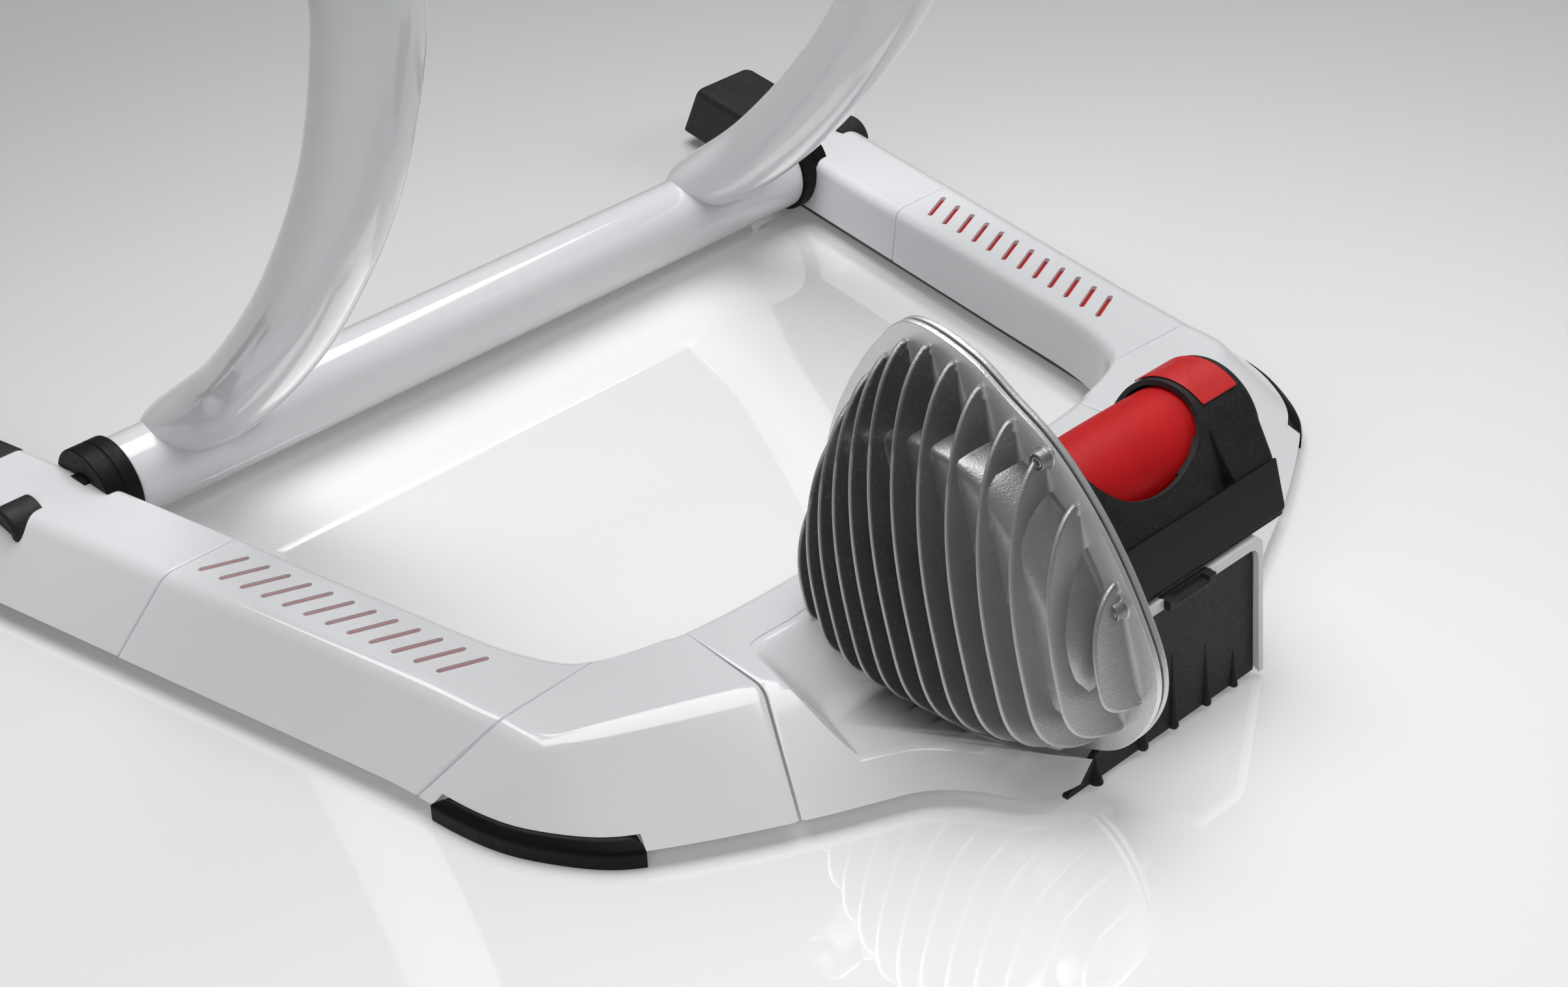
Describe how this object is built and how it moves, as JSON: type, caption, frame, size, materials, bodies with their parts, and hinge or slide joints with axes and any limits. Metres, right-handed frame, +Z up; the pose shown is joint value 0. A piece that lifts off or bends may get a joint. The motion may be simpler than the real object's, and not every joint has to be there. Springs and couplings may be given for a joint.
{
  "type": "turbo trainer",
  "caption": "Wheel-on turbo trainer: splayed base, finned fluid brake with a red roller under a hood, and a folding frame that clamps the rear axle.",
  "frame": {"origin": "on the floor, in the middle of the box that the trainer fills at rest; the rear axle is 14.56 mm in front of it", "axes": "+Z up, +Y forwards (the way the bicycle faces), +X to the bicycle's right; X = 0 is the wheel's plane"},
  "size_m": [0.6978, 0.6512, 0.3944],
  "materials": {
    "cover_white": "high-gloss cool white moulding",
    "paint_white": "high-gloss cool white paint",
    "casting": "bead-blasted grey casting with a fine grain",
    "steel": "turned steel",
    "dark_steel": "black stoved paint",
    "black_plastic": "fine-grained charcoal black moulding",
    "label_black": "smooth black film, bare",
    "rubber": "satin black rubber",
    "roller_red": "satin red elastomer",
    "insert_red": "plain red plastic"
  },
  "bodies": {
    "base": {"rail_cover_right": "cover_white", "rail_cover_left": "cover_white", "front_rail_cover_right": "cover_white", "front_rail_cover_left": "cover_white", "corner_cover_right": "cover_white", "corner_cover_left": "cover_white", "base_frame": "dark_steel", "slot_insert_right": "insert_red", "slot_insert_left": "insert_red", "corner_foot_right": "rubber", "corner_foot_left": "rubber", "front_foot_right": "black_plastic", "front_foot_left": "black_plastic", "front_pad_right": "rubber", "front_pad_left": "rubber", "pivot_block_right": "steel", "pivot_block_left": "steel", "pivot_bush_right": "black_plastic", "pivot_bush_left": "black_plastic", "pivot_bolt_right": "steel", "pivot_bolt_left": "steel", "pivot_cap_right": "black_plastic", "pivot_cap_left": "black_plastic", "middle_cover": "cover_white", "rear_panel": "black_plastic", "panel_latch": "black_plastic", "unit_bracket": "dark_steel", "unit_cover": "black_plastic", "hood_patch": "insert_red", "label_plate": "label_black", "bearing_carrier": "casting", "unit_bolt_1": "steel", "unit_bolt_2": "steel", "brake_back_plate": "casting", "brake_gasket": "rubber", "finned_housing": "casting", "flange_screw_1": "steel", "flange_screw_2": "steel", "flange_screw_3": "steel", "flange_screw_4": "steel", "flange_screw_5": "steel", "shaft_seal": "rubber", "bearing_left": "steel", "bearing_right": "steel"},
    "roller": {"roller_sleeve": "roller_red", "roller_core": "casting", "roller_shaft": "steel", "impeller": "black_plastic"},
    "arms": {"cross_tube": "paint_white", "swing_arm_left": "paint_white", "swing_arm_right": "paint_white", "clamp_body_left": "paint_white", "clamp_body_right": "paint_white", "lever_clevis": "dark_steel", "plunger_spring": "steel", "lever_pin": "steel"},
    "plunger": {"clamp_plunger": "steel"},
    "lever": {"clamp_lever": "black_plastic"},
    "cup": {"adjuster_cup": "steel"},
    "screw": {"adjuster_screw": "black_plastic"}
  },
  "joints": [
    {"name": "frame_fold", "type": "hinge", "parent": "base", "child": "arms", "pos_m": [0, 0.20556, 0.0306], "axis": [1, 0, 0], "range_deg": [-117, 8]},
    {"name": "roller_spin", "type": "hinge", "parent": "base", "child": "roller", "pos_m": [0, -0.24274, 0.112], "axis": [1, 0, 0], "continuous": true},
    {"name": "lever_swing", "type": "hinge", "parent": "arms", "child": "lever", "pos_m": [0.22762, 0.01456, 0.373], "axis": [0, -1, 0], "range_deg": [0, 100]},
    {"name": "plunger_slide", "type": "slide", "parent": "arms", "child": "plunger", "axis": [1, 0, 0], "range_m": [0, 0.0047]},
    {"name": "cup_slide", "type": "slide", "parent": "arms", "child": "cup", "axis": [1, 0, 0], "range_m": [-0.012, 0.007]},
    {"name": "knob_spin", "type": "hinge", "parent": "cup", "child": "screw", "pos_m": [-0.15, 0.01456, 0.373], "axis": [1, 0, 0], "range_deg": [-1080, 630]}
  ],
  "couplings": [
    {"joint": "lever_swing", "follows": "plunger_slide", "rad_per_m": 371.3},
    {"joint": "knob_spin", "follows": "cup_slide", "rad_per_m": 1570.8}
  ]
}
